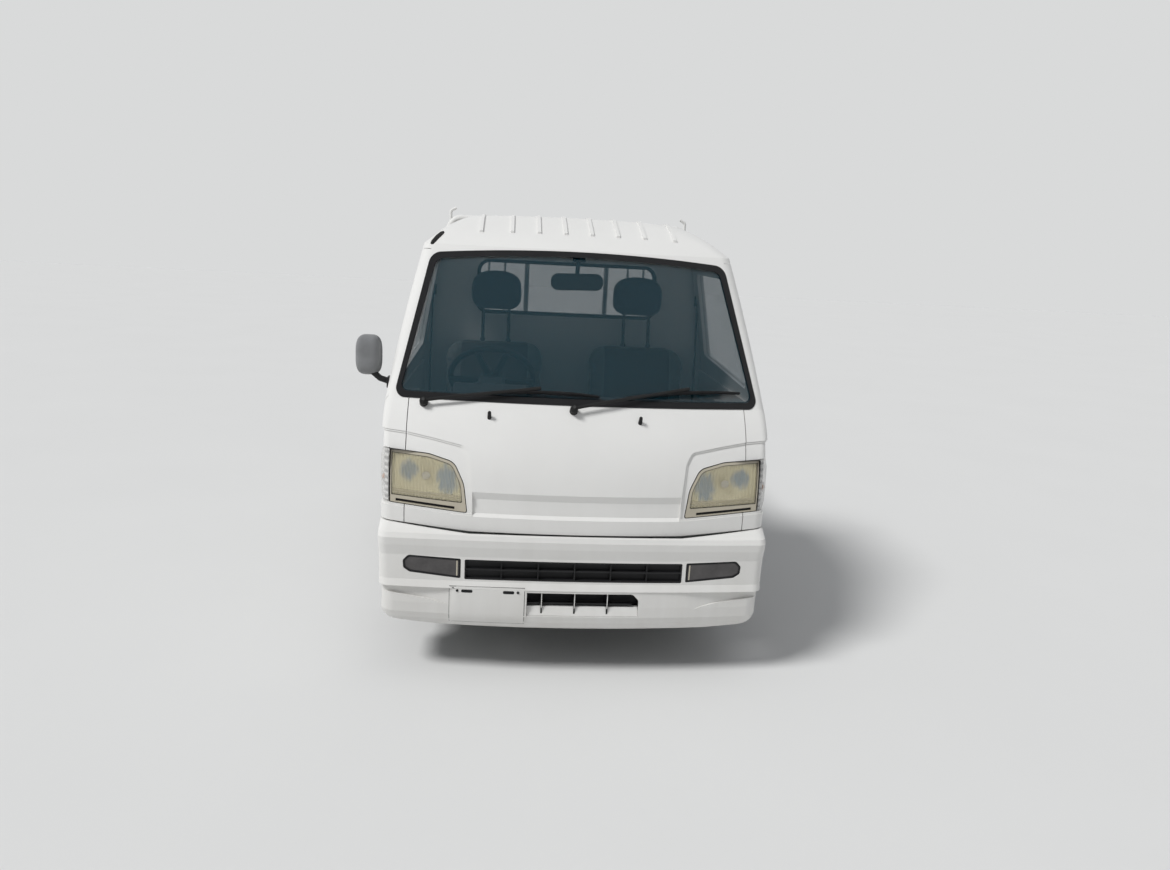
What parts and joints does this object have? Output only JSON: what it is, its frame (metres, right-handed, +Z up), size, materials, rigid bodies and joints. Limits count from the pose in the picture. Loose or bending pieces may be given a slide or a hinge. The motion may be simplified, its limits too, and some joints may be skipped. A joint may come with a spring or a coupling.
{
  "type": "kei truck",
  "caption": "Full-cab light truck with a drop-side bed, steered front wheels, two doors and three folding gates.",
  "frame": {"origin": "on the ground, on the centre plane, half-way along the truck", "axes": "front towards -Y, +Z up, driver's side towards -X"},
  "size_m": [1.6055, 3.395, 1.7982],
  "materials": {
    "body_paint": "pale off-white enamel, semi-gloss",
    "bumper_paint": "painted moulded plastic, semi-gloss",
    "cab_inner_paint": "grey-green enamel",
    "chassis_black": "satin black",
    "axle_iron": "painted cast iron",
    "spring_steel": "dull dark steel",
    "cast_alloy": "dull cast",
    "exhaust_steel": "dull, lightly rusted",
    "screen_glass": "clear with a green tint",
    "door_glass": "clear with a green tint",
    "seal_rubber": "black rubber",
    "black_plastic": "grained black",
    "dash_plastic": "grained dark grey",
    "headlamp_lens": "yellowed clear lens",
    "clear_lens": "clear fluted lens",
    "smoke_lens": "smoked lens",
    "tail_lens": "red lens",
    "seat_cloth": "woven dark cloth",
    "wiper_black": "satin black",
    "mirror_plastic": "weathered grey",
    "tyre_rubber": "black tyre rubber",
    "rim_steel": "silver paint",
    "lamp_frame": "aged beige moulding",
    "reflector": "aluminised reflector",
    "bright_metal": "bright plated steel",
    "lamp_core": "ribbed pale moulding",
    "orange_lens": "faded orange lens",
    "headrest_cloth": "navy woven cloth"
  },
  "bodies": {
    "chassis": {"ladder_frame": "chassis_black", "cross_members": "chassis_black", "front_suspension": "chassis_black", "rear_axle": "axle_iron", "leaf_springs": "spring_steel", "engine_block": "cast_alloy", "propeller_shaft": "axle_iron", "exhaust": "exhaust_steel", "fuel_tank": "chassis_black", "radiator": "cast_alloy", "cab_floor": "cab_inner_paint", "side_frames": "body_paint", "roof": "body_paint", "rear_panel": "body_paint", "front_panel": "body_paint", "corner_panels": "body_paint", "windscreen": "screen_glass", "window_seals": "seal_rubber", "rear_window": "screen_glass", "bumper": "bumper_paint", "grille": "black_plastic", "headlamps": "headlamp_lens", "corner_lamps": "clear_lens", "bumper_lamps": "smoke_lens", "dashboard": "dash_plastic", "steering_column": "dash_plastic", "driver_seat": "seat_cloth", "passenger_seat": "seat_cloth", "cab_controls": "black_plastic", "room_mirror": "black_plastic", "wipers": "wiper_black", "bed_floor": "body_paint", "guard_frame": "body_paint", "tail_lamps": "tail_lens", "mudguards": "seal_rubber", "rear_beam": "body_paint", "spare_tyre": "tyre_rubber", "spare_rim": "rim_steel"},
    "steering_wheel": {"steering_wheel": "black_plastic"},
    "knuckle_left": {"knuckle_left": "axle_iron"},
    "knuckle_right": {"knuckle_right": "axle_iron"},
    "wheel_front_left": {"tyre_front_left": "tyre_rubber", "rim_front_left": "rim_steel"},
    "wheel_front_right": {"tyre_front_right": "tyre_rubber", "rim_front_right": "rim_steel"},
    "wheel_rear_left": {"tyre_rear_left": "tyre_rubber", "rim_rear_left": "rim_steel"},
    "wheel_rear_right": {"tyre_rear_right": "tyre_rubber", "rim_rear_right": "rim_steel"},
    "door_left": {"door_left": "body_paint", "door_glass_left": "door_glass"},
    "door_right": {"door_right": "body_paint", "door_glass_right": "door_glass", "door_mirror": "mirror_plastic"},
    "gate_left": {"gate_left": "body_paint"},
    "gate_right": {"gate_right": "body_paint"},
    "tail_gate": {"tail_gate": "body_paint"}
  },
  "joints": [
    {"name": "steering", "type": "hinge", "parent": "chassis", "child": "steering_wheel", "pos_m": [-0.343, -1.11, 1.08], "axis": [0, 0.7771, 0.6293], "range_deg": [-540, 540]},
    {"name": "steer_left", "type": "hinge", "parent": "chassis", "child": "knuckle_left", "pos_m": [0.52, -0.8575, 0.272], "axis": [0, 0, 1], "range_deg": [-33, 33]},
    {"name": "spin_front_left", "type": "hinge", "parent": "knuckle_left", "child": "wheel_front_left", "pos_m": [0.652, -0.8575, 0.272], "axis": [1, 0, 0], "continuous": true},
    {"name": "spin_rear_left", "type": "hinge", "parent": "chassis", "child": "wheel_rear_left", "pos_m": [0.65, 1.0425, 0.272], "axis": [1, 0, 0], "continuous": true},
    {"name": "door_left_swing", "type": "hinge", "parent": "chassis", "child": "door_left", "pos_m": [0.7352, -1.3975, 0.7], "axis": [0, 0, -1], "range_deg": [0, 65]},
    {"name": "gate_left_drop", "type": "hinge", "parent": "chassis", "child": "gate_left", "pos_m": [0.7315, 0.68, 0.649], "axis": [0, 1, 0], "range_deg": [0, 170]},
    {"name": "steer_right", "type": "hinge", "parent": "chassis", "child": "knuckle_right", "pos_m": [-0.52, -0.8575, 0.272], "axis": [0, 0, 1], "range_deg": [-33, 33]},
    {"name": "spin_front_right", "type": "hinge", "parent": "knuckle_right", "child": "wheel_front_right", "pos_m": [-0.652, -0.8575, 0.272], "axis": [1, 0, 0], "continuous": true},
    {"name": "spin_rear_right", "type": "hinge", "parent": "chassis", "child": "wheel_rear_right", "pos_m": [-0.65, 1.0425, 0.272], "axis": [1, 0, 0], "continuous": true},
    {"name": "door_right_swing", "type": "hinge", "parent": "chassis", "child": "door_right", "pos_m": [-0.7352, -1.3975, 0.7], "axis": [0, 0, 1], "range_deg": [0, 65]},
    {"name": "gate_right_drop", "type": "hinge", "parent": "chassis", "child": "gate_right", "pos_m": [-0.7315, 0.68, 0.649], "axis": [0, -1, 0], "range_deg": [0, 170]},
    {"name": "tail_gate_drop", "type": "hinge", "parent": "chassis", "child": "tail_gate", "pos_m": [0, 1.6915, 0.649], "axis": [-1, 0, 0], "range_deg": [0, 170]}
  ],
  "couplings": [
    {"joint": "steer_left", "follows": "steering", "ratio": 0.061111},
    {"joint": "steer_right", "follows": "steering", "ratio": 0.061111}
  ]
}
